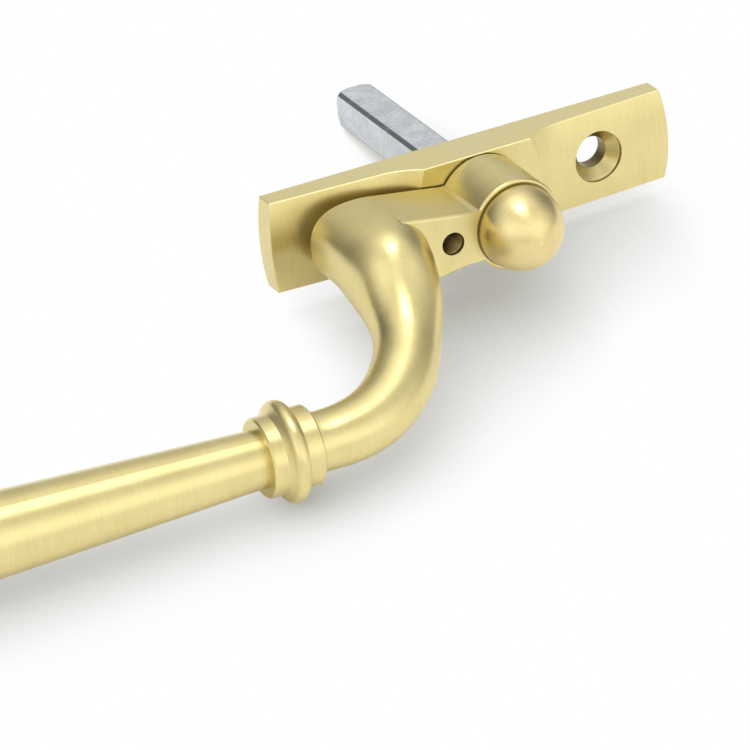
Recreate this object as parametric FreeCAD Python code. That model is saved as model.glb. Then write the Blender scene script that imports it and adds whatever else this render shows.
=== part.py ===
import FreeCAD, Part
import math
import os

# Casement window fastener with an offset cranked handle, made to drive an espagnolette gear.
# Millimetres. The origin is on the spindle's axis, in the backplate's back plane. +X runs along the
# plate and away from the grip, +Y goes into the sash with the spindle, and +Z is across the plate.
# The room side is -Y, and "out" below is the distance from the back plane towards the room.
# The handle is modelled closed, with its grip along the plate, and offset to the -Z side.

# ---- backplate ----
plate_length = 77.8
plate_width = 17.0
plate_end_bulge = 0.8
pad_out = 7.9              # front of the flat pad in the middle
pad_half = 10.3            # pad's half length, measured at the plate's long edges
scoop_radius = 12.9        # hollow that runs from the pad down to the arms
scoop_foot_out = 5.1       # front of the long edge where the hollow ends and the arm's taper starts
arm_taper = math.radians(3.4)
arm_crown = 0.95           # how much higher the arms are at mid width than at their edges
fixing_pitch = 48.8
fixing_hole_radius = 2.9
countersink_radius = 4.77
countersink_rim_out = 4.6  # where the countersink's straight lip ends
plate_edge_round = 0.2

# ---- bearing in the plate ----
bush_seat_radius = 6.62
recess_radius = 7.25
recess_depth = 3.4
bush_radius = 6.6
bush_bore_radius = 5.8
spigot_radius = 5.75
spigot_end_out = 0.3
clip_groove_radius = 5.2
clip_out = 0.75
clip_thickness = 0.8
clip_gap = 0.05            # between the snap ring and its groove
clip_rim_radius = 6.7
clip_mouth = 3.2
washer_thickness = 0.86
washer_gap = 0.1           # between the washers' bores and the spigot
stack_inset = 0.2          # the stack's rims to the recess's wall
disc_spring_thickness = 0.45
thrust_washer_radius = 7.4
fit_gap = 0.02             # between flat faces that bear on each other

# ---- handle: boss and web ----
boss_radius = 8.3
boss_back_out = 8.3        # leaves the fine shadow gap over the pad
boss_front_out = 21.0
boss_rim_round = 0.45
waist_x = -7.95            # where the web's sides leave the boss
waist_half = 4.65
web_flare_x = -21.5        # where the web's sides run into its rounded end
web_end_x = -24.4          # centre of that end, a superellipse when seen from the room
web_end_depth = 8.7        # its half length along the plate
web_end_half = 7.0         # its half width
web_end_squareness = 2.5   # 2 is an ellipse and more is squarer
web_end_wall_step = 3.0    # between the sections that keep the end's wall straight
web_end_wall_sections = 5
web_edge_round = 0.5

# ---- handle: neck ----
grip_out = 45.2
grip_drop = 15.2
neck_foot_out = 14.0       # where the neck's tilted middle plane meets the web's middle plane
neck_foot_x = -24.6
neck_bend_x = -47.8
neck_straight_rise = 5.8   # along the tilted plane, before the neck starts to bend
neck_radius = 5.2
neck_mid_swell = 0.7
neck_root_flare = 2.3
neck_root_width = 0.9      # how much wider than deep the neck's root is
neck_root_shift = 1.2      # how far the root sits above the neck's middle plane
neck_flare_turn = 31.0     # degrees of the bend over which the root's flare dies away
grip_lean = math.radians(1.5)  # the neck bends this much past a right angle
collar_along = 4.5         # straight length of neck between the bend and the collar

# ---- collar, grip and its button ----
ring_radius = 6.85
ring_length = 3.15
collar_edge = 0.3          # bevel on the collar's edges
bead_radius = 8.75
bead_length = 6.15         # the bead with its own flat band
bead_crest_along = 1.55
bead_foot_rise = 0.3       # how far the bead stands over the ring where they meet
bead_turn_along = 1.2      # from the crest to where the bead's curve turns into the cove
bead_turn_drop = 0.7
band_length = 2.5
grip_root_radius = 4.95
grip_swell_along = 66.0    # from the grip's root to where it is thickest
grip_swell_radius = 7.9
grip_length = 84.0
grip_shoulder_along = 7.5  # the rounded far end, back from its tip
grip_shoulder_drop = 1.6   # how much thinner the grip is at the shoulder than at its swell
button_radius = 3.6
button_seat_step = 0.6     # the button stands this far over the grip's end
button_root_drop = 0.9     # how much thinner the button is at its root than at its middle
button_tip_drop = 1.7
button_tip_along = 0.6     # where the button's curve ends, back from its flat tip
button_length = 5.0

# ---- spindle and its screw ----
spindle_size = 7.0
spindle_reach = 41.6       # behind the plate
spindle_top_out = 13.9
spindle_bevel = 0.55
spindle_tip_radius = 3.75  # a 45 degree cone from here bevels the corners of the tip
pocket_gap = 0.04
pocket_end_out = 14.0
screw_seat_out = 16.4
screw_head_out = 17.3
screw_head_radius = 3.5
screw_head_height = 2.6
screw_shank_radius = 1.9
screw_tip_out = 4.5
screw_socket_width = 3.0
screw_socket_depth = 1.6
screw_clearance_radius = 2.2
lock_washer_bore_radius = 2.0
lock_washer_radius = 3.55
lock_washer_split = 0.7
counterbore_radius = 5.2

# ---- domed cap ----
dome_radius = 7.47
dome_centre_out = 22.25
dome_foot_groove = 0.16
cap_spigot_radius = 5.18
cap_spigot_out = 18.3
cap_spigot_bevel = 0.3
cap_hollow_radius = 4.0
cap_hollow_out = 24.0
cap_hollow_cone = 1.5      # the drill's point at the hollow's end

# ---- locking screw ----
lock_x = -12.3
lock_minor_radius = 2.1
lock_major_radius = 2.45
lock_pitch = 0.8
lock_groove_half = 0.36    # half width of one groove of the thread
lock_screw_radius = 2.05
lock_screw_bevel = 0.3
lock_screw_tip_out = 8.6
lock_screw_length = 6.0
lock_point_radius = 1.6
lock_point_length = 2.0
lock_socket_width = 2.5
lock_socket_depth = 2.4
lock_pit_radius = 2.4
lock_pit_floor_out = 3.6

# ---- neck stud ----
stud_radius = 2.4
stud_gap = 0.03
stud_bevel = 0.4
stud_end_gap = 0.5
stud_in_neck = 7.0
stud_in_grip = 16.0

OUTWARD = FreeCAD.Vector(0, -1, 0)
TO_GRIP = FreeCAD.Vector(-1, 0, 0)
ACROSS = FreeCAD.Vector(0, 0, 1)
SECTION_POINTS = 24


def at(x, out, z=0.0):
    """A point given by its place along the plate, its distance out from the back plane, and z."""
    return FreeCAD.Vector(x, -out, z)


def wire_of(points, place):
    """Closed wire through points. An item that is a pair of points is an arc's middle and end."""
    edges = []
    here = points[0]
    for step in points[1:] + [points[0]]:
        if isinstance(step[0], tuple):
            middle, end = step
            edges.append(Part.Arc(place(*here), place(*middle), place(*end)).toShape())
            here = end
        elif step != here:
            edges.append(Part.makeLine(place(*here), place(*step)))
            here = step
    return Part.Wire(edges)


def turned(points, origin, axis, side):
    """Solid of revolution. Each point is (distance along the axis, radius)."""
    def place(along, radius):
        return origin + axis * along + side * radius

    solid = Part.Face(wire_of(points, place)).revolve(origin, axis, 360)
    return solid if solid.Volume > 0 else solid.reversed()


def arc_to(start, way, end):
    """Arc that leaves start at the angle way and reaches end: (middle, end), and its angle there."""
    chord = math.hypot(end[0] - start[0], end[1] - start[1])
    chord_way = math.atan2(end[1] - start[1], end[0] - start[0])
    sag = chord / 2 * math.tan((way - chord_way) / 2)
    middle = ((start[0] + end[0]) / 2 - sag * math.sin(chord_way),
              (start[1] + end[1]) / 2 + sag * math.cos(chord_way))
    return (middle, end), 2 * chord_way - way


def turned_on_spindle(points, x=0.0):
    """Turned part on the spindle's axis, or on a parallel one. Each point is (out, radius)."""
    return turned(points, at(x, 0), OUTWARD, FreeCAD.Vector(1, 0, 0))


def turned_on_grip(points):
    """Turned part on the grip's axis. Each point is (distance past the neck's end face, radius)."""
    origin, way = grip_line()
    return turned(points, origin, way, across_neck())


def disc(low, high, radius, x=0.0):
    return Part.makeCylinder(radius, high - low, at(x, low), OUTWARD)


def ring(low, high, inner, outer):
    return disc(low, high, outer).cut(disc(low, high, inner))


def box(x_low, x_high, out_low, out_high, z_low, z_high):
    corner = FreeCAD.Vector(x_low, -out_high, z_low)
    return Part.makeBox(x_high - x_low, out_high - out_low, z_high - z_low, corner)


def prism(points, low, high):
    """Straight prism along the spindle's axis. Each point is (x, z)."""
    face = Part.Face(wire_of(points, lambda x, z: at(x, low, z)))
    return face.extrude(OUTWARD * (high - low))


def polygon(sides, across_flats):
    corner = across_flats / 2 / math.cos(math.pi / sides)
    turns = [2 * math.pi * (i + 0.5) / sides for i in range(sides)]
    return [(corner * math.cos(turn), corner * math.sin(turn)) for turn in turns]


def square_section(size, bevel):
    """Corner points of a square with bevelled corners, as (x, z)."""
    half = size / 2
    near = half - bevel
    return [(half, -near), (half, near), (near, half), (-near, half),
            (-half, near), (-half, -near), (-near, -half), (near, -half)]


# ---- backplate ----

def scoop_cutter():
    """Everything in front of the right-hand arm: the hollow beside the pad, then the arm's taper."""
    foot_x = pad_half_to_foot() + pad_half
    centre_x = foot_x + scoop_radius * math.sin(arm_taper)
    centre_out = scoop_foot_out + scoop_radius * math.cos(arm_taper)
    half = plate_width / 2 + 1
    edge_drop = arm_crown * (half / (plate_width / 2)) ** 2 - arm_crown
    axis_at = at(centre_x, centre_out)
    toward_foot = FreeCAD.Vector(-math.sin(arm_taper), math.cos(arm_taper), 0)
    taper_way = FreeCAD.Vector(math.cos(arm_taper), math.sin(arm_taper), 0)

    def place(depth, z):
        return axis_at + toward_foot * depth + ACROSS * z

    crown_arc = ((scoop_radius - arm_crown, 0), (scoop_radius + edge_drop, half))
    outline = [(0, -half), (scoop_radius + edge_drop, -half), crown_arc, (0, half)]
    section = Part.Face(wire_of(outline, place))
    hollow = section.revolve(axis_at, ACROSS, 80)
    taper = section.extrude(taper_way * plate_length)
    return hollow.fuse(taper)


def pad_half_to_foot():
    """Distance along the plate from the pad's edge to the foot of the hollow."""
    rise = pad_out - scoop_foot_out
    steep = math.acos(math.cos(arm_taper) - rise / scoop_radius)
    return scoop_radius * (math.sin(steep) - math.sin(arm_taper))


def backplate():
    half_l = plate_length / 2
    half_w = plate_width / 2
    side_l = half_l - plate_end_bulge
    outline = [(side_l, -half_w), ((half_l, 0), (side_l, half_w)),
               (-side_l, half_w), ((-half_l, 0), (-side_l, -half_w))]
    body = prism(outline, 0, pad_out)
    cutter = scoop_cutter()
    body = body.cut(cutter)
    body = body.cut(cutter.mirror(FreeCAD.Vector(0, 0, 0), FreeCAD.Vector(1, 0, 0)))
    cone_foot = countersink_rim_out - (countersink_radius - fixing_hole_radius)
    hole = [(-1, 0), (-1, fixing_hole_radius), (cone_foot, fixing_hole_radius),
            (countersink_rim_out, countersink_radius), (pad_out + 1, countersink_radius), (pad_out + 1, 0)]
    for x in (-fixing_pitch / 2, fixing_pitch / 2):
        body = body.cut(turned_on_spindle(hole, x))
    body = body.cut(disc(-1, recess_depth, recess_radius))
    body = body.cut(disc(0, pad_out + 1, bush_seat_radius))
    body = body.cut(disc(lock_pit_floor_out, pad_out + 1, lock_pit_radius, lock_x))
    return body.makeFillet(plate_edge_round, [edge for edge in body.Edges if on_outline(edge)])


def on_outline(edge):
    """True for an edge round the plate's outline, apart from those in its back plane."""
    middle = edge.valueAt((edge.FirstParameter + edge.LastParameter) / 2)
    on_side = abs(abs(middle.z) - plate_width / 2) < 0.001
    on_end = abs(middle.x) > plate_length / 2 - plate_end_bulge - 0.001
    return middle.y < -0.001 and (on_side or on_end)


# ---- bearing pieces ----

def hub_bush():
    return ring(recess_depth, pad_out - fit_gap, bush_bore_radius, bush_radius)


def thrust_washer():
    low = pad_out + fit_gap
    high = boss_back_out - fit_gap
    return ring(low, high, spigot_radius + washer_gap, thrust_washer_radius)


def disc_spring():
    """Coned washer: its rim bears on the rear washer and its bore on the plate."""
    low = clip_out + clip_thickness + washer_thickness + 2 * fit_gap
    high = recess_depth - fit_gap
    inner = spigot_radius + washer_gap
    outer = recess_radius - stack_inset
    return turned_on_spindle([(low, outer), (low + disc_spring_thickness, outer),
                              (high, inner), (high - disc_spring_thickness, inner)])


def rear_washer():
    low = clip_out + clip_thickness + fit_gap
    return ring(low, low + washer_thickness, spigot_radius + washer_gap, recess_radius - stack_inset)


def snap_ring():
    whole = ring(clip_out, clip_out + clip_thickness, clip_groove_radius + clip_gap, clip_rim_radius)
    mouth = box(0, recess_radius, 0, recess_depth, -clip_mouth / 2, clip_mouth / 2)
    return whole.cut(mouth)


# ---- handle ----

def neck_tilt():
    """Angle between the neck's middle plane and the straight outward direction."""
    return math.atan2(grip_drop, grip_out - neck_foot_out)


def across_neck():
    return FreeCAD.Vector(0, -math.sin(neck_tilt()), math.cos(neck_tilt()))


def path_point(x, rise):
    """Point on the neck's middle plane, with rise measured along the plane from the web's middle."""
    return at(x, neck_foot_out + rise * math.cos(neck_tilt()), -rise * math.sin(neck_tilt()))


def neck_bend(turn):
    """Centre and direction of the neck's bend, a quarter ellipse that runs a little past a right angle."""
    reach_x = neck_foot_x - neck_bend_x
    reach_rise = math.hypot(grip_out - neck_foot_out, grip_drop) - neck_straight_rise
    centre = path_point(neck_bend_x + reach_x * math.cos(turn),
                        neck_straight_rise + reach_rise * math.sin(turn))
    way = path_point(-reach_x * math.sin(turn), reach_rise * math.cos(turn)) - path_point(0, 0)
    return centre, way.normalize()


def bend_end():
    """Bend angle at which the neck's direction has passed the right angle by grip_lean."""
    reach_x = neck_foot_x - neck_bend_x
    reach_rise = math.hypot(grip_out - neck_foot_out, grip_drop) - neck_straight_rise
    return math.pi / 2 + math.atan(math.tan(grip_lean) * reach_x / reach_rise)


def grip_line():
    """The neck's end, where the collar starts, and the direction from there to the grip's far end."""
    centre, way = neck_bend(bend_end())
    return centre + way * collar_along, way


def neck_section(centre, toward_grip, across, half_depth, half_width, squareness=2.0):
    """Closed smooth section, a superellipse."""
    points = []
    for i in range(SECTION_POINTS):
        turn = 2 * math.pi * i / SECTION_POINTS
        c, s = math.cos(turn), math.sin(turn)
        u = math.copysign(abs(c) ** (2 / squareness), c) * half_depth
        v = math.copysign(abs(s) ** (2 / squareness), s) * half_width
        points.append(centre + toward_grip * u + across * v)
    curve = Part.BSplineCurve()
    curve.interpolate(points, PeriodicFlag=True)
    return Part.Wire([curve.toShape()])


def neck():
    """Rounded web end that rises into the neck and bends to the grip's axis."""
    across = across_neck()
    sections = []
    for step in reversed(range(web_end_wall_sections)):
        out = neck_foot_out - step * web_end_wall_step
        sections.append(neck_section(at(web_end_x, out), TO_GRIP, ACROSS,
                                     web_end_depth, web_end_half, web_end_squareness))
    end = math.degrees(bend_end())
    for turn_deg in (0, 15, 30, 45, 60, 75, end):
        centre, way = neck_bend(math.radians(turn_deg))
        side = across.cross(way)
        flare = 0.0
        if turn_deg < neck_flare_turn:
            flare = (1 + math.cos(math.pi * turn_deg / neck_flare_turn)) / 2
        swell = neck_mid_swell * math.cos(math.radians(turn_deg))
        radius = neck_radius + swell + flare * neck_root_flare
        centre = centre + across * (flare * neck_root_shift)
        sections.append(neck_section(centre, side, across, radius, radius + flare * neck_root_width))
    last, way = grip_line()
    sections.append(neck_section(last, across.cross(way), across, neck_radius, neck_radius))
    whole = Part.makeLoft(sections, True, False)
    low = neck_foot_out - web_end_wall_sections * web_end_wall_step
    return whole.cut(box(2 * web_end_x, 0, low, boss_back_out, web_end_x, -web_end_x))


def web_end_half_at(x):
    """Half width of the web's rounded end at x."""
    along = abs(x - web_end_x) / web_end_depth
    return web_end_half * (1 - along ** web_end_squareness) ** (1 / web_end_squareness)


def web():
    """Flat bar from the boss to the neck, flared towards the neck."""
    flare_half = web_end_half_at(web_flare_x) - fit_gap
    outline = [(0, -waist_half), (waist_x, -waist_half), (web_flare_x, -flare_half),
               (web_flare_x, flare_half), (waist_x, waist_half), (0, waist_half)]
    bar = prism(outline, boss_back_out, boss_front_out)
    front = [edge for edge in bar.Edges if on_front(edge)]
    flared = [edge for edge in front if waist_half < abs(edge.CenterOfMass.z) < flare_half]
    return bar.makeFillet(web_edge_round, flared)


def on_front(edge):
    """True for an edge that lies in the boss's front plane."""
    return all(abs(v.Y + boss_front_out) < 0.001 for v in edge.Vertexes)


def boss():
    body = disc(boss_back_out, boss_front_out, boss_radius)
    rim = [edge for edge in body.Edges if on_front(edge) and len(edge.Vertexes) == 1]
    return body.makeFillet(boss_rim_round, rim)


def handle_arm():
    body = boss().fuse([web(), neck(), disc(spigot_end_out, boss_back_out, spigot_radius)])
    body = body.removeSplitter()
    pocket = square_section(spindle_size + 2 * pocket_gap, spindle_bevel)
    body = body.cut(prism(pocket, 0, pocket_end_out))
    body = body.cut(disc(pocket_end_out - 1, boss_front_out, screw_clearance_radius))
    body = body.cut(disc(screw_seat_out, boss_front_out + 1, counterbore_radius))
    groove_high = clip_out + clip_thickness + clip_gap
    body = body.cut(ring(clip_out - clip_gap, groove_high, clip_groove_radius, spigot_radius + 1))
    body = body.cut(lock_thread())
    return body.cut(stud_bore(-stud_in_neck, 1))


def lock_thread():
    """The tapped hole's space: a core with V grooves, one per pitch."""
    points = [(boss_back_out - 1, 0), (boss_back_out - 1, lock_minor_radius)]
    out = boss_back_out + lock_pitch / 2
    while out < boss_front_out - lock_groove_half:
        points += [(out - lock_groove_half, lock_minor_radius), (out, lock_major_radius),
                   (out + lock_groove_half, lock_minor_radius)]
        out += lock_pitch
    points += [(boss_front_out + 1, lock_minor_radius), (boss_front_out + 1, 0)]
    return turned_on_spindle(points, lock_x)


def boss_cap():
    """Dome with a spigot in the boss's counterbore, and a hollow over the spindle's screw."""
    low = boss_front_out + fit_gap
    foot_out = low + dome_foot_groove
    foot_radius = math.sqrt(dome_radius ** 2 - (dome_centre_out - foot_out) ** 2)
    tip = dome_centre_out + dome_radius
    middle = (dome_centre_out + dome_radius / math.sqrt(2), dome_radius / math.sqrt(2))
    return turned_on_spindle([
        (cap_spigot_out, cap_hollow_radius), (cap_spigot_out, cap_spigot_radius - cap_spigot_bevel),
        (cap_spigot_out + cap_spigot_bevel, cap_spigot_radius), (low, cap_spigot_radius),
        (low, foot_radius - dome_foot_groove), (foot_out, foot_radius), (middle, (tip, 0)),
        (cap_hollow_out + cap_hollow_cone, 0), (cap_hollow_out, cap_hollow_radius)])


# ---- spindle and its screw ----

def spindle():
    bar = prism(square_section(spindle_size, spindle_bevel), -spindle_reach, spindle_top_out)
    wide = spindle_tip_radius + spindle_size
    coned = turned_on_spindle([(-spindle_reach, 0), (-spindle_reach, spindle_tip_radius),
                               (spindle_size - spindle_reach, wide), (spindle_top_out, wide),
                               (spindle_top_out, 0)])
    bar = bar.common(coned)
    return bar.cut(disc(screw_tip_out - 1, spindle_top_out + 1, screw_shank_radius + pocket_gap))


def spindle_screw():
    head_top = screw_head_out + screw_head_height
    head = disc(screw_head_out, head_top, screw_head_radius)
    socket = prism(polygon(6, screw_socket_width), head_top - screw_socket_depth, head_top + 1)
    return head.fuse(disc(screw_tip_out, screw_head_out, screw_shank_radius)).cut(socket)


def spindle_lock_washer():
    low = screw_seat_out + fit_gap
    high = screw_head_out - fit_gap
    half_split = lock_washer_split / 2
    whole = ring(low, high, lock_washer_bore_radius, lock_washer_radius)
    return whole.cut(box(0, lock_washer_radius + 1, low - 1, high + 1, -half_split, half_split))


# ---- locking screw ----

def lock_screw():
    low = lock_screw_tip_out
    high = low + lock_screw_length
    shoulder = low + lock_point_length
    shoulder_top = shoulder + lock_screw_radius - lock_point_radius
    bevel = lock_screw_bevel
    body = turned_on_spindle([
        (low, 0), (low, lock_point_radius - bevel), (low + bevel, lock_point_radius),
        (shoulder, lock_point_radius), (shoulder_top, lock_screw_radius),
        (high - bevel, lock_screw_radius), (high, lock_screw_radius - bevel), (high, 0)], lock_x)
    corners = [(lock_x + x, z) for x, z in polygon(6, lock_socket_width)]
    return body.cut(prism(corners, high - lock_socket_depth, high + 1))


# ---- collar, grip and stud ----

def stud_bore(low, high):
    """Space of the neck stud's bore between two distances past the neck's end face."""
    radius = stud_radius + stud_gap
    return turned_on_grip([(low, 0), (low, radius), (high, radius), (high, 0)])


def bored(solid):
    return solid.cut(stud_bore(-1, ring_length + bead_length + stud_in_grip))


def neck_ring():
    return bored(turned_on_grip([(0, 0), (0, ring_radius - collar_edge), (collar_edge, ring_radius),
                                 (ring_length, ring_radius), (ring_length, 0)]))


def bead_collar():
    """Bead that runs through a cove into a flat band on the grip's side."""
    low = ring_length
    high = low + bead_length
    foot = (low, ring_radius + bead_foot_rise)
    crest = (low + bead_crest_along, bead_radius)
    turn = (crest[0] + bead_turn_along, bead_radius - bead_turn_drop)
    rise, _ = arc_to(crest, math.pi, foot)
    fall, way = arc_to(crest, 0, turn)
    cove, _ = arc_to(turn, way, (high - band_length, ring_radius))
    return bored(turned_on_grip([
        (low, 0), foot, (rise[0], crest), fall, cove,
        (high - collar_edge, ring_radius), (high, ring_radius - collar_edge), (high, 0)]))


def grip():
    """Swelling grip. Its far end narrows over a rounded shoulder to the button's seat."""
    start = ring_length + bead_length
    swell = (start + grip_swell_along, grip_swell_radius)
    end = start + grip_length
    seat = (end, button_radius - button_seat_step)
    taper_way = math.atan2(grip_swell_radius - grip_root_radius, grip_swell_along)
    shoulder = (end - grip_shoulder_along, grip_swell_radius - grip_shoulder_drop)
    over, way = arc_to(swell, taper_way, shoulder)
    nose, _ = arc_to(shoulder, way, seat)
    return bored(turned_on_grip([(start, 0), (start, grip_root_radius), swell, over, nose, (end, 0)]))


def grip_button():
    low = ring_length + bead_length + grip_length + fit_gap
    high = low + button_length
    middle = (low + button_length / 2, button_radius)
    tip = (high - button_tip_along, button_radius - button_tip_drop)
    return turned_on_grip([(low, 0), (low, button_radius - button_root_drop), (middle, tip), (high, 0)])


def neck_stud():
    low = stud_end_gap - stud_in_neck
    high = ring_length + bead_length + stud_in_grip - stud_end_gap
    return turned_on_grip([(low, 0), (low, stud_radius - stud_bevel), (low + stud_bevel, stud_radius),
                           (high - stud_bevel, stud_radius), (high, stud_radius - stud_bevel), (high, 0)])


PIECES = {
    "backplate": backplate,
    "hub_bush": hub_bush,
    "thrust_washer": thrust_washer,
    "disc_spring": disc_spring,
    "rear_washer": rear_washer,
    "snap_ring": snap_ring,
    "handle_arm": handle_arm,
    "boss_cap": boss_cap,
    "spindle": spindle,
    "spindle_screw": spindle_screw,
    "spindle_lock_washer": spindle_lock_washer,
    "lock_screw": lock_screw,
    "neck_ring": neck_ring,
    "bead_collar": bead_collar,
    "grip": grip,
    "grip_button": grip_button,
    "neck_stud": neck_stud,
}

os.makedirs("parts", exist_ok=True)
for name, make in PIECES.items():
    shape = make()
    solids = shape.Solids
    print(name, "solids", len(solids), "valid", shape.isValid(), "volume", round(shape.Volume, 1))
    shape.exportStep(os.path.join("parts", name + ".step"))
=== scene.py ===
import math

import bpy
from mathutils import Matrix, Vector

# Casement fastener lying on a pale floor, on its spindle's tip and its collar's bead.
# Metres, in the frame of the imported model: X along the plate, Y into the sash, Z across the plate.

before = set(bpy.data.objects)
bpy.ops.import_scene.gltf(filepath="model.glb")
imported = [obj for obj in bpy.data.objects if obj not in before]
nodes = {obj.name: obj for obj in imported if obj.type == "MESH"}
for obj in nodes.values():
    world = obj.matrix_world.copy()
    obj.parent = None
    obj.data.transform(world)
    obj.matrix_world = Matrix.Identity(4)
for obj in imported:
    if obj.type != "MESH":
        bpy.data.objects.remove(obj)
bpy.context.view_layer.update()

MM = 0.001

# ---- view ----
AIM = Vector((-0.0190, 0.0020, -0.0327))
VIEW_DISTANCE = 0.880
VIEW_AZIMUTH = math.radians(24.01)   # line of sight, turned from +Y towards +X
VIEW_DEPRESSION = math.radians(27.09)
VIEW_ROLL = math.radians(-5.76)
VIEW_LENS = 240.0
SENSOR_WIDTH = 36.0

# ---- floor: a plane through the resting points, leaning towards the room side ----
FLOOR_UP = Vector((-0.018, -0.220, 0.975)).normalized()
FLOOR_LEVEL = -12.8 * MM
FLOOR_HALF = 0.42
FLOOR_WHITE = (0.90, 0.90, 0.90, 1.0)
FLOOR_SHADE = 0.985          # share of that white in the darker specks
FLOOR_GRAIN = 900.0          # noise scales are all per metre
FLOOR_ROUGHNESS = 0.85
FLOOR_GLOSS = 0.15
SHADOW_COLOUR = (0.30, 0.29, 0.23, 1.0)
SHADOW_REACH = 34 * MM       # how far above the floor a surface still shades it
SHADOW_DEEPEST = 0.15        # share of open sky where the shadow is deepest
SHADOW_EDGE = 0.82           # and where it ends
SHADOW_LEAN = 0.7            # how far the light leans over from the left

# ---- soft light: lobes of brightness round the object, as {elevation: {azimuth: radiance}} ----
# Azimuth 0 is beyond the object, 90 is on the right and 180 behind the camera.
# The rows below 0 only light what swings below the floor.
LOBES = {
    90: {0: 0.20},
    60: {0: 1.10, 60: 0.75, 120: 0.31, 180: 0.45, 240: 0.40, 300: 1.00},
    32: {0: 0.35, 72: 0.22, 108: 0.72, 144: 0.94, 180: 0.75, 216: 1.12, 252: 0.48, 288: 0.20,
         324: 0.20},
    -90: {0: 0.50},
    -45: {0: 0.50, 90: 0.50, 180: 0.50, 270: 0.50},
    6: {0: 0.60, 30: 0.05, 60: 0.22, 90: 0.50, 120: 1.05, 150: 0.61, 180: 0.39, 210: 0.80,
        240: 0.32, 330: 0.11},
}
LOBE_TIGHTNESS = 12.0
KEY_SIZE = 0.40              # square soft box straight above
KEY_DISTANCE = 1.0
KEY_RADIANCE = 5.0

# ---- brass ----
BRASS = (0.71, 0.615, 0.295, 1.0)
BRASS_DEEP = (0.62, 0.525, 0.235, 1.0)
BRASS_WORN_HIGHLIT = (0.78, 0.690, 0.350, 1.0)      # along the edges: wear, and a painted highlight
BRASS_EDGE_HIGHLIGHT = (0.86, 0.760, 0.390, 1.0)    # painted highlight on the plate's long edges
BRASS_BORE_SHADE = (0.16, 0.115, 0.045, 1.0)   # painted shade inside the holes
CAP_BRASS = (0.73, 0.610, 0.300, 1.0)
CAP_BRASS_DEEP = (0.64, 0.525, 0.240, 1.0)
BRASS_ROUGHNESS = 0.33
ROUGHNESS_PATCHES = 0.10     # how much the roughness varies with the patches
ROUGHNESS_LINES = 0.06       # and with the brush lines
GRAIN_WIDTH = 0.26 * MM
GRAIN_LENGTH = 7.0 * MM
GRAIN_PULL = 0.6             # how much wider the gloss is across the brush lines than along them
GRAIN_CONTRAST = (0.24, 0.76)
GRAIN_RELIEF = 3e-6
CAP_RELIEF = 1e-6
PATCH_SCALE = 160.0
WAVE_SCALE = 90.0
WAVE_RELIEF = 15e-6
EDGE_WIDTH = 0.30 * MM
EDGE_BENT = (0.995, 0.90)    # cosine of true against rounded normal: open surface, full wear and painted highlight
WORN_HIGHLIT_PATCHES = (0.30, 0.60)
WORN_HIGHLIT_STRENGTH = 0.7

# ---- zinc-plated steel ----
ZINC_LIGHT = (0.66, 0.69, 0.71, 1.0)
ZINC_DARK = (0.50, 0.525, 0.54, 1.0)
ZINC_SCALE = (0.20, 0.21, 0.21, 1.0)
BEVEL_ZONE = (6.30 * MM, 6.42 * MM)          # |x| + |z| over the spindle's bevels
SCALE_PATCHES = (0.20, 0.45)
STEEL_CONTRAST = (0.35, 0.65)
ZINC_CLOUDS = 260.0
ZINC_SPECKS = 1500.0
ZINC_DRAWN = (2600.0, 160.0, 2600.0)
ZINC_ROUGHNESS = 0.36
ZINC_METAL = 0.85
ZINC_RELIEF = 8e-6

# ---- small parts inside ----
STEEL_PATCHES = 700.0
STEEL_METAL = 0.9
STEEL_RELIEF = 6e-6
STEEL_VARIATION = 0.2        # of the roughness, on zinc too
NYLON_DARK = (0.78, 0.76, 0.70, 1.0)
NYLON_LIGHT = (0.86, 0.85, 0.80, 1.0)
NYLON_PATCHES = 500.0
NYLON_ROUGHNESS = 0.5
NYLON_RELIEF = 5e-6

# ---- places on the object that the grain follows ----
BEND_CENTRE = Vector((-0.0478, -0.0195, 0.0))   # centre of the neck's bend, seen along Z
BEND_RADIUS = 26.0 * MM
DOME_CENTRE = Vector((0.0, -0.02225, 0.0))
DOME_RADIUS = 7.47 * MM
GRIP_LEAN = math.radians(1.5)

# ---- plate's long edges: sanded duller than its front, and lightened as a painted highlight ----
PLATE_EDGE_Z = 8.45 * MM
SAWN_HIGHLIGHT_FADE = 0.15 * MM
SAWN_ROUGHNESS = 0.08

# ---- holes ----
FIXING_X = 24.4 * MM
FIXING_RADIUS = 2.95 * MM
COUNTERSINK_RADIUS = 4.9 * MM
COUNTERSINK_RIM_Y = -4.9 * MM
LOCK_X = -12.3 * MM
LOCK_RADIUS = 2.6 * MM
SEAM_RADIUS = 7.75 * MM
WEB_FRONT_Y = -21.0 * MM
SEAM_DEPTH = 0.9 * MM
BORE_SHADE_FADE = 0.8 * MM


# ---- node helpers ----

def add_node(tree, kind, sockets=None, **settings):
    """New shader node. A socket's value is a number, a colour, a vector or a node's output."""
    made = tree.nodes.new("ShaderNode" + kind)
    for key, value in settings.items():
        setattr(made, key, value)
    for socket, value in (sockets or {}).items():
        if isinstance(value, bpy.types.NodeSocket):
            tree.links.new(value, made.inputs[socket])
        else:
            made.inputs[socket].default_value = value
    return made


def calc(tree, operation, a, b=0.0):
    return add_node(tree, "Math", {0: a, 1: b}, operation=operation).outputs[0]


def vector_calc(tree, operation, a, b=(0.0, 0.0, 0.0)):
    made = add_node(tree, "VectorMath", {0: a, 1: b}, operation=operation)
    return made.outputs["Value"] if operation in ("DOT_PRODUCT", "LENGTH") else made.outputs[0]


def multiply_add(tree, value, factor, offset):
    made = add_node(tree, "Math", {0: value, 1: factor, 2: offset}, operation="MULTIPLY_ADD")
    return made.outputs[0]


def average(tree, a, b):
    return calc(tree, "ADD", calc(tree, "MULTIPLY", a, 0.5), calc(tree, "MULTIPLY", b, 0.5))


def split(tree, vector):
    return add_node(tree, "SeparateXYZ", {0: vector}).outputs


def join(tree, **parts):
    return add_node(tree, "CombineXYZ", parts).outputs[0]


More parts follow.
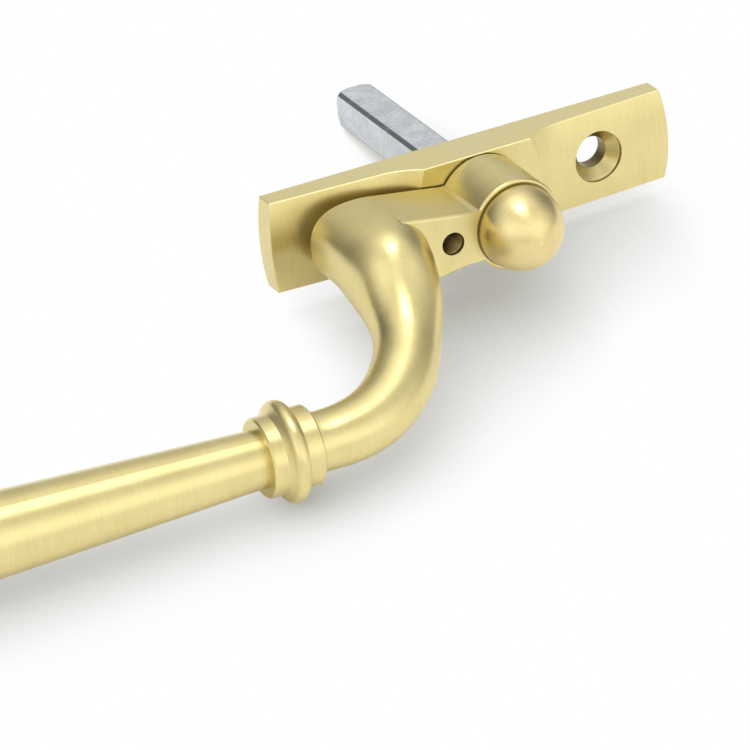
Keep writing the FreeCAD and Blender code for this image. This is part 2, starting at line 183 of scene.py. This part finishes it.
def off_axis(tree, x, z):
    """Distance from an axis that runs along Y."""
    return vector_calc(tree, "LENGTH", join(tree, X=x, Z=z))


def bump(tree, height, distance, **under):
    sockets = {"Height": height, "Strength": 1.0, "Distance": distance, **under}
    return add_node(tree, "Bump", sockets).outputs[0]


def ramp(tree, factor, low, high):
    """0 below low, 1 above high, and smooth between."""
    made = add_node(tree, "MapRange", {"Value": factor, "From Min": low, "From Max": high},
                    interpolation_type="SMOOTHSTEP")
    return made.outputs[0]


def blend(tree, factor, first, second):
    made = add_node(tree, "Mix", {0: factor, 6: first, 7: second}, data_type="RGBA")
    return made.outputs[2]


def noise(tree, vector, scale, detail=2.0, roughness=0.5):
    made = add_node(tree, "TexNoise", {"Vector": vector, "Scale": scale, "Detail": detail,
                                       "Roughness": roughness})
    return made.outputs[0]


def new_material(name):
    material = bpy.data.materials.new(name)
    material.use_nodes = True
    tree = material.node_tree
    shader = next(n for n in tree.nodes if n.type == "BSDF_PRINCIPLED")
    return material, tree, shader


def object_position(tree):
    return add_node(tree, "TexCoord").outputs["Object"]


# ---- grain: each gives the distance and the direction across the brush lines ----

def across_axis(axis):
    """Brush lines run round, or square to, a straight axis."""
    def grain(tree, position):
        return vector_calc(tree, "DOT_PRODUCT", position, tuple(axis)), tuple(axis)
    return grain


def along_bend(tree, position):
    """Brush lines run round the bent neck."""
    parts = split(tree, vector_calc(tree, "SUBTRACT", position, tuple(BEND_CENTRE)))
    angle = calc(tree, "ARCTAN2", parts["Y"], parts["X"])
    way = join(tree, X=calc(tree, "MULTIPLY", parts["Y"], -1.0), Y=parts["X"])
    return calc(tree, "MULTIPLY", angle, BEND_RADIUS), way


def round_dome(tree, position):
    """Lathe lines, counted along the dome's surface from its tip."""
    parts = split(tree, vector_calc(tree, "SUBTRACT", position, tuple(DOME_CENTRE)))
    out = calc(tree, "MULTIPLY", parts["Y"], -1.0)
    angle = calc(tree, "ARCTAN2", off_axis(tree, parts["X"], parts["Z"]), out)
    return calc(tree, "MULTIPLY", angle, DOME_RADIUS), (0.0, 1.0, 0.0)


# ---- masks ----

def in_bore(tree, position, x, radius, mouth_y):
    """1 on the walls of a hole along Y: within radius of its axis and behind its mouth."""
    parts = split(tree, position)
    distance = off_axis(tree, calc(tree, "SUBTRACT", parts["X"], x), parts["Z"])
    near = calc(tree, "LESS_THAN", distance, radius)
    return calc(tree, "MULTIPLY", near, ramp(tree, parts["Y"], mouth_y, mouth_y + BORE_SHADE_FADE))


def on_edges(tree):
    """1 at edges and corners, and 0 on open surfaces."""
    true_normal = add_node(tree, "NewGeometry").outputs["Normal"]
    rounded = add_node(tree, "Bevel", {"Radius": EDGE_WIDTH}, samples=4).outputs[0]
    return ramp(tree, vector_calc(tree, "DOT_PRODUCT", true_normal, rounded), *EDGE_BENT)


# ---- materials ----

def brushed_brass(name, grain, colour=BRASS, deep=BRASS_DEEP, bores=(), sawn_highlit_z=None,
                  relief=GRAIN_RELIEF):
    """Satin brass: fine brush lines, slow polish waves, worn edges lightened also as a painted
    highlight, and painted shade in its bores.
    """
    material, tree, shader = new_material(name)
    position = object_position(tree)
    across, way = grain(tree, position)
    slow = vector_calc(tree, "SCALE", position)
    slow.node.inputs["Scale"].default_value = 1 / GRAIN_LENGTH
    fast = join(tree, X=calc(tree, "DIVIDE", across, GRAIN_WIDTH))
    lines = noise(tree, vector_calc(tree, "ADD", slow, fast), 1.0, 3.0, 0.6)
    patches = noise(tree, position, PATCH_SCALE, 3.0, 0.55)
    waves = noise(tree, position, WAVE_SCALE, 1.0)

    paint = blend(tree, ramp(tree, average(tree, lines, patches), *GRAIN_CONTRAST), deep, colour)
    # Edges are lightened in patches: wear, and a painted highlight along them.
    worn_and_highlit = calc(tree, "MULTIPLY", on_edges(tree), ramp(tree, patches, *WORN_HIGHLIT_PATCHES))
    paint = blend(tree, calc(tree, "MULTIPLY", worn_and_highlit, WORN_HIGHLIT_STRENGTH), paint, BRASS_WORN_HIGHLIT)

    rough = multiply_add(tree, patches, ROUGHNESS_PATCHES, BRASS_ROUGHNESS - ROUGHNESS_PATCHES / 2)
    uneven = calc(tree, "MULTIPLY", calc(tree, "SUBTRACT", lines, 0.5), ROUGHNESS_LINES)
    rough = calc(tree, "ADD", rough, uneven)
    if sawn_highlit_z:
        # The plate's long edge faces get a painted highlight (lighter colour) and a sanded, rougher
        # finish.
        height = split(tree, vector_calc(tree, "ABSOLUTE", position))["Z"]
        sawn_and_highlit = ramp(tree, height, sawn_highlit_z - SAWN_HIGHLIGHT_FADE, sawn_highlit_z)
        rough = calc(tree, "ADD", rough, calc(tree, "MULTIPLY", sawn_and_highlit, SAWN_ROUGHNESS))
        paint = blend(tree, sawn_and_highlit, paint, BRASS_EDGE_HIGHLIGHT)
    # Painted shade: the walls of the bores and of the cap's seam are darkened.
    for x, radius, mouth_y, shade_strength in bores:
        inside = calc(tree, "MULTIPLY", in_bore(tree, position, x, radius, mouth_y), shade_strength)
        paint = blend(tree, inside, paint, BRASS_BORE_SHADE)
    tree.links.new(paint, shader.inputs["Base Color"])
    tree.links.new(rough, shader.inputs["Roughness"])
    shader.inputs["Metallic"].default_value = 1.0
    shader.inputs["Anisotropic"].default_value = GRAIN_PULL
    turned_way = add_node(tree, "VectorTransform", {0: way}, vector_type="VECTOR",
                          convert_from="OBJECT", convert_to="WORLD")
    tree.links.new(turned_way.outputs[0], shader.inputs["Tangent"])
    fine = bump(tree, lines, relief, Normal=bump(tree, waves, WAVE_RELIEF))
    tree.links.new(fine, shader.inputs["Normal"])
    return material


def zinc_steel(name):
    """Dull zinc plate: clouds, scuffs, a faint drawn grain, and dark scale on the bar's bevels."""
    material, tree, shader = new_material(name)
    position = object_position(tree)
    clouds = noise(tree, position, ZINC_CLOUDS, 4.0, 0.6)
    specks = noise(tree, position, ZINC_SPECKS, 3.0, 0.6)
    drawn = noise(tree, vector_calc(tree, "MULTIPLY", position, ZINC_DRAWN), 1.0, 2.0)
    tone = ramp(tree, average(tree, clouds, specks), *STEEL_CONTRAST)
    colour = blend(tree, tone, ZINC_DARK, ZINC_LIGHT)
    parts = split(tree, vector_calc(tree, "ABSOLUTE", position))
    corner = ramp(tree, calc(tree, "ADD", parts["X"], parts["Z"]), *BEVEL_ZONE)
    scale = calc(tree, "MULTIPLY", corner, ramp(tree, clouds, *SCALE_PATCHES))
    tree.links.new(blend(tree, scale, colour, ZINC_SCALE), shader.inputs["Base Color"])
    rough = multiply_add(tree, clouds, STEEL_VARIATION, ZINC_ROUGHNESS)
    tree.links.new(rough, shader.inputs["Roughness"])
    shader.inputs["Metallic"].default_value = ZINC_METAL
    relief = calc(tree, "ADD", calc(tree, "MULTIPLY", drawn, 0.5), specks)
    tree.links.new(bump(tree, relief, ZINC_RELIEF), shader.inputs["Normal"])
    return material


def plain_steel(name, light, dark, roughness):
    """Oiled or blackened small parts."""
    material, tree, shader = new_material(name)
    patches = noise(tree, object_position(tree), STEEL_PATCHES, 3.0, 0.6)
    colour = blend(tree, ramp(tree, patches, *STEEL_CONTRAST), dark, light)
    tree.links.new(colour, shader.inputs["Base Color"])
    rough = multiply_add(tree, patches, STEEL_VARIATION, roughness)
    tree.links.new(rough, shader.inputs["Roughness"])
    shader.inputs["Metallic"].default_value = STEEL_METAL
    tree.links.new(bump(tree, patches, STEEL_RELIEF), shader.inputs["Normal"])
    return material


def nylon(name):
    """Off-white moulded plastic."""
    material, tree, shader = new_material(name)
    patches = noise(tree, object_position(tree), NYLON_PATCHES, 3.0, 0.6)
    colour = blend(tree, patches, NYLON_DARK, NYLON_LIGHT)
    tree.links.new(colour, shader.inputs["Base Color"])
    shader.inputs["Roughness"].default_value = NYLON_ROUGHNESS
    tree.links.new(bump(tree, patches, NYLON_RELIEF), shader.inputs["Normal"])
    return material


def floor_paper(name):
    """White floor that the camera sees only as soft shade under the object.

    So a piece that swings below it stays in sight. Rays from the object still meet white paper.
    The shade is occlusion that leans to the right, and not a cast shadow.
    """
    material, tree, shader = new_material(name)
    specks = noise(tree, object_position(tree), FLOOR_GRAIN, 3.0, 0.6)
    darker = tuple(FLOOR_SHADE * c for c in FLOOR_WHITE[:3]) + (1.0,)
    tree.links.new(blend(tree, specks, darker, FLOOR_WHITE), shader.inputs["Base Color"])
    shader.inputs["Roughness"].default_value = FLOOR_ROUGHNESS
    shader.inputs["Specular IOR Level"].default_value = FLOOR_GLOSS

    right, _, up = floor_frame()
    bright_side = vector_calc(tree, "NORMALIZE", tuple(up - SHADOW_LEAN * right))
    open_sky = add_node(tree, "AmbientOcclusion",
                        {"Distance": SHADOW_REACH, "Normal": bright_side}, samples=16).outputs["AO"]
    lit = add_node(tree, "MapRange", {"Value": open_sky, "From Min": SHADOW_DEEPEST,
                                      "From Max": SHADOW_EDGE}).outputs[0]
    shade = blend(tree, lit, SHADOW_COLOUR, (1.0, 1.0, 1.0, 1.0))
    tinted = add_node(tree, "BsdfTransparent", {"Color": shade}).outputs[0]
    clear = add_node(tree, "BsdfTransparent").outputs[0]
    path = add_node(tree, "LightPath").outputs
    seen = add_node(tree, "MixShader",
                    {0: path["Is Camera Ray"], 1: shader.outputs[0], 2: tinted}).outputs[0]
    from_below = add_node(tree, "NewGeometry").outputs["Backfacing"]
    through = calc(tree, "MAXIMUM", path["Is Shadow Ray"], from_below)
    surface = add_node(tree, "MixShader", {0: through, 1: seen, 2: clear}).outputs[0]
    output = next(n for n in tree.nodes if n.type == "OUTPUT_MATERIAL")
    tree.links.new(surface, output.inputs["Surface"])
    return material


def dress(names, material):
    for name in names:
        slots = nodes[name].data.materials
        slots.clear()
        slots.append(material)


def dress_all():
    # each bore: x, radius, y of its mouth, strength of the painted shade
    screw_holes = [(x, COUNTERSINK_RADIUS, COUNTERSINK_RIM_Y, 0.30) for x in (-FIXING_X, FIXING_X)]
    screw_holes += [(x, FIXING_RADIUS, WEB_FRONT_Y, 0.80) for x in (-FIXING_X, FIXING_X)]
    plate_grain = across_axis((1.0, 0.0, 0.0))
    dress(["backplate"], brushed_brass("plate_brass", plate_grain, bores=screw_holes,
                                       sawn_highlit_z=PLATE_EDGE_Z))
    tapped_hole = (LOCK_X, LOCK_RADIUS, WEB_FRONT_Y, 0.9)
    cap_seam = (0.0, SEAM_RADIUS, WEB_FRONT_Y - SEAM_DEPTH, 0.8)
    dress(["handle_arm"], brushed_brass("neck_brass", along_bend, bores=[tapped_hole, cap_seam]))
    grip_grain = across_axis((-math.cos(GRIP_LEAN), math.sin(GRIP_LEAN), 0.0))
    dress(["neck_ring", "bead_collar", "grip", "grip_button"],
          brushed_brass("turned_brass", grip_grain))
    dress(["boss_cap"],
          brushed_brass("cap_brass", round_dome, CAP_BRASS, CAP_BRASS_DEEP, relief=CAP_RELIEF))
    dress(["spindle", "spindle_screw", "rear_washer", "neck_stud"], zinc_steel("zinc_steel"))
    oiled = plain_steel("spring_steel", (0.40, 0.41, 0.43, 1.0), (0.26, 0.27, 0.28, 1.0), 0.32)
    dress(["disc_spring", "snap_ring", "spindle_lock_washer"], oiled)
    black = plain_steel("black_steel", (0.10, 0.10, 0.10, 1.0), (0.05, 0.05, 0.05, 1.0), 0.40)
    dress(["lock_screw"], black)
    dress(["hub_bush", "thrust_washer"], nylon("bearing_nylon"))


# ---- stage ----

def line_of_sight():
    return Vector((math.sin(VIEW_AZIMUTH) * math.cos(VIEW_DEPRESSION),
                   math.cos(VIEW_AZIMUTH) * math.cos(VIEW_DEPRESSION),
                   -math.sin(VIEW_DEPRESSION)))


def make_camera():
    forward = line_of_sight()
    level_right = forward.cross(Vector((0.0, 0.0, 1.0))).normalized()
    level_up = level_right.cross(forward)
    right = level_right * math.cos(VIEW_ROLL) + level_up * math.sin(VIEW_ROLL)
    up = right.cross(forward)
    camera = bpy.data.objects.new("camera", bpy.data.cameras.new("camera"))
    turn = Matrix((right, up, -forward)).transposed()
    place = AIM - forward * VIEW_DISTANCE
    camera.matrix_world = Matrix.LocRotScale(place, turn.to_quaternion(), None)
    camera.data.lens = VIEW_LENS
    camera.data.sensor_width = SENSOR_WIDTH
    camera.data.clip_start = 0.05
    camera.data.clip_end = 10.0
    bpy.context.scene.collection.objects.link(camera)
    bpy.context.scene.camera = camera


def floor_frame():
    """The floor's directions as the camera sees them: right, away and up."""
    forward = line_of_sight()
    away = (forward - FLOOR_UP * forward.dot(FLOOR_UP)).normalized()
    return away.cross(FLOOR_UP), away, FLOOR_UP


def make_floor():
    right, away, up = floor_frame()
    centre = up * FLOOR_LEVEL + AIM - up * AIM.dot(up)
    mesh = bpy.data.meshes.new("floor")
    corners = [(-1, -1), (1, -1), (1, 1), (-1, 1)]
    points = [centre + (right * a + away * b) * FLOOR_HALF for a, b in corners]
    mesh.from_pydata(points, [], [(0, 1, 2, 3)])
    mesh.materials.append(floor_paper("floor_paper"))
    floor = bpy.data.objects.new("floor", mesh)
    bpy.context.scene.collection.objects.link(floor)


def toward(azimuth, elevation):
    """Direction in the floor's own azimuth and elevation, in degrees."""
    right, away, up = floor_frame()
    a, e = math.radians(azimuth), math.radians(elevation)
    return (away * math.cos(a) + right * math.sin(a)) * math.cos(e) + up * math.sin(e)


def make_key():
    light = bpy.data.lights.new("key", "AREA")
    light.shape = "SQUARE"
    light.size = KEY_SIZE
    light.energy = KEY_RADIANCE * math.pi * KEY_SIZE ** 2    # watts
    lamp = bpy.data.objects.new("key", light)
    place = AIM + FLOOR_UP * KEY_DISTANCE
    lamp.matrix_world = Matrix.LocRotScale(place, FLOOR_UP.to_track_quat("Z", "Y"), None)
    lamp.visible_camera = False
    bpy.context.scene.collection.objects.link(lamp)


def make_light():
    """A studio of soft light, white where the camera looks straight at it."""
    world = bpy.data.worlds.new("studio")
    world.use_nodes = True
    tree = world.node_tree
    background = next(n for n in tree.nodes if n.type == "BACKGROUND")
    way = add_node(tree, "TexCoord").outputs["Generated"]
    total = 0.0
    for elevation, row in LOBES.items():
        for azimuth, radiance in row.items():
            near = vector_calc(tree, "DOT_PRODUCT", way, tuple(toward(azimuth, elevation)))
            fall = calc(tree, "MULTIPLY", calc(tree, "SUBTRACT", near, 1.0), LOBE_TIGHTNESS)
            lobe = calc(tree, "MULTIPLY", calc(tree, "EXPONENT", fall), radiance)
            total = calc(tree, "ADD", lobe, total)
    seen = add_node(tree, "LightPath").outputs["Is Camera Ray"]
    tree.links.new(calc(tree, "MAXIMUM", total, seen), background.inputs["Color"])
    bpy.context.scene.world = world
    bpy.context.scene.view_settings.view_transform = "Standard"


dress_all()
make_camera()
make_floor()
make_light()
make_key()
